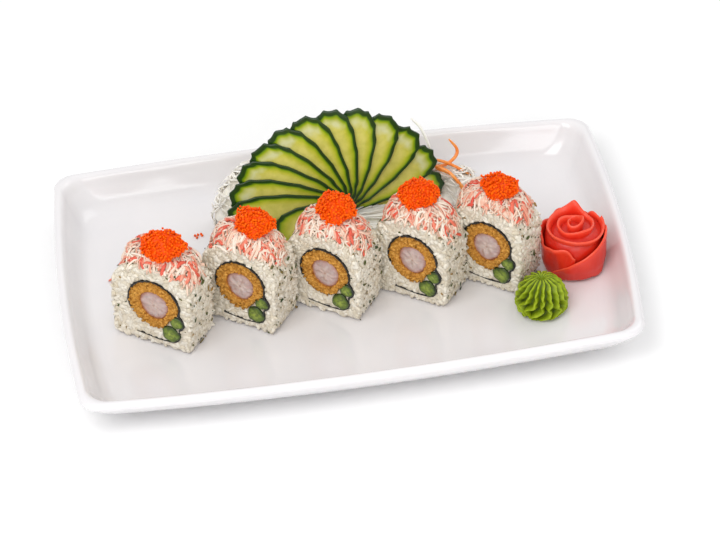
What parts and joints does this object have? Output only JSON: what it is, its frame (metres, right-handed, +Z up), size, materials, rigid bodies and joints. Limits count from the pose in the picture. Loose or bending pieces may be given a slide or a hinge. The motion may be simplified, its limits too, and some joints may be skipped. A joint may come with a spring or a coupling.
{
  "type": "uramaki roll",
  "caption": "Uramaki rolls with fried shrimp, topped with crab and roe, in a row on a long white plate with cucumber fan, ginger rose and wasabi.",
  "frame": {"origin": "middle of the plate's foot, where it rests", "axes": "+X along the plate's long side, to the right; +Y towards the back, behind the rolls; +Z up"},
  "size_m": [0.3, 0.1984, 0.0798],
  "materials": {
    "plate": "glossy glaze",
    "rice": "moist matt grains",
    "seaweed": "matt, crinkled",
    "crust": "rough fried crumb",
    "shrimp": "moist",
    "stem": "moist",
    "crab": "moist shreds",
    "roe": "glossy grains",
    "cucumber": "wet cut flesh with dark rind",
    "radish": "wet translucent shreds",
    "carrot": "wet strips",
    "ginger": "wet thin petals",
    "wasabi": "matt paste"
  },
  "bodies": {
    "root": {"plate": "plate", "roll_1_rice": "rice", "roll_1_seaweed": "seaweed", "roll_1_crust": "crust", "roll_1_shrimp": "shrimp", "roll_1_stem_1": "stem", "roll_1_stem_2": "stem", "roll_1_crab": "crab", "roll_1_roe": "roe", "roll_2_rice": "rice", "roll_2_seaweed": "seaweed", "roll_2_crust": "crust", "roll_2_shrimp": "shrimp", "roll_2_stem_1": "stem", "roll_2_stem_2": "stem", "roll_2_crab": "crab", "roll_2_roe": "roe", "roll_3_rice": "rice", "roll_3_seaweed": "seaweed", "roll_3_crust": "crust", "roll_3_shrimp": "shrimp", "roll_3_stem_1": "stem", "roll_3_stem_2": "stem", "roll_3_crab": "crab", "roll_3_roe": "roe", "roll_4_rice": "rice", "roll_4_seaweed": "seaweed", "roll_4_crust": "crust", "roll_4_shrimp": "shrimp", "roll_4_stem_1": "stem", "roll_4_stem_2": "stem", "roll_4_crab": "crab", "roll_4_roe": "roe", "roll_5_rice": "rice", "roll_5_seaweed": "seaweed", "roll_5_crust": "crust", "roll_5_shrimp": "shrimp", "roll_5_stem_1": "stem", "roll_5_stem_2": "stem", "roll_5_crab": "crab", "roll_5_roe": "roe", "cucumber_1": "cucumber", "cucumber_2": "cucumber", "cucumber_3": "cucumber", "cucumber_4": "cucumber", "cucumber_5": "cucumber", "cucumber_6": "cucumber", "cucumber_7": "cucumber", "cucumber_8": "cucumber", "cucumber_9": "cucumber", "cucumber_10": "cucumber", "cucumber_11": "cucumber", "cucumber_12": "cucumber", "cucumber_13": "cucumber", "radish_shreds": "radish", "carrot_shreds": "carrot", "ginger_rose": "ginger", "wasabi": "wasabi"}
  },
  "joints": []
}
